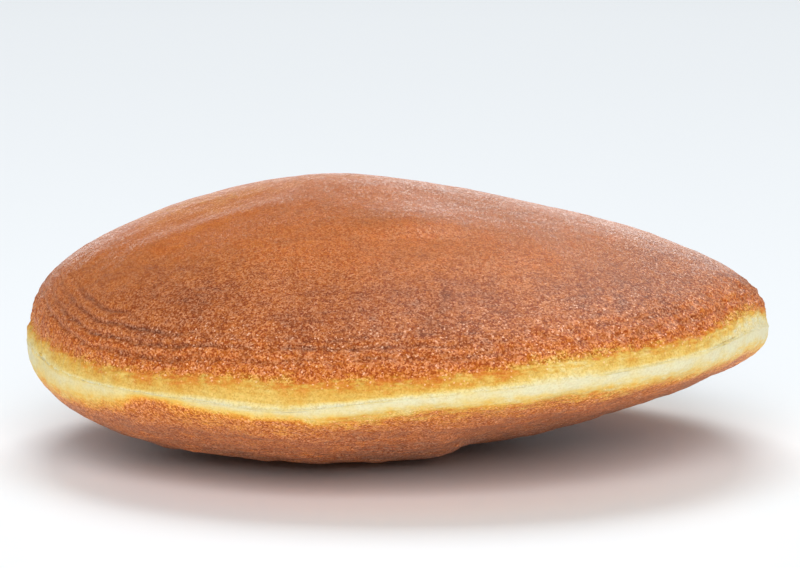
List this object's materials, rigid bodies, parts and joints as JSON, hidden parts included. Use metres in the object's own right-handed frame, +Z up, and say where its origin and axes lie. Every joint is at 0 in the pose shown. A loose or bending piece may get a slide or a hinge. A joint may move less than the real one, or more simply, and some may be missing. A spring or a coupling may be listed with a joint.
{
  "type": "filled pancake",
  "caption": "Round cake of two griddled pancakes with browned domed crusts, pressed together at their pale rims, lying on its flat foot",
  "frame": {"origin": "middle of the outline seen from above, on the surface that the cake rests on", "axes": "+Z up, +X along the longest way across, -Y towards the side with the dipped seam"},
  "size_m": [0.0958, 0.092, 0.0354],
  "materials": {
    "upper_crust": "evenly griddled brown crust with a fine grain and a faint sheen, amber to golden at its edge",
    "lower_crust": "pale cream crumb at the rim, fading through amber into a brown griddled underside"
  },
  "bodies": {
    "root": {"upper_pancake": "upper_crust", "lower_pancake": "lower_crust"}
  },
  "joints": []
}
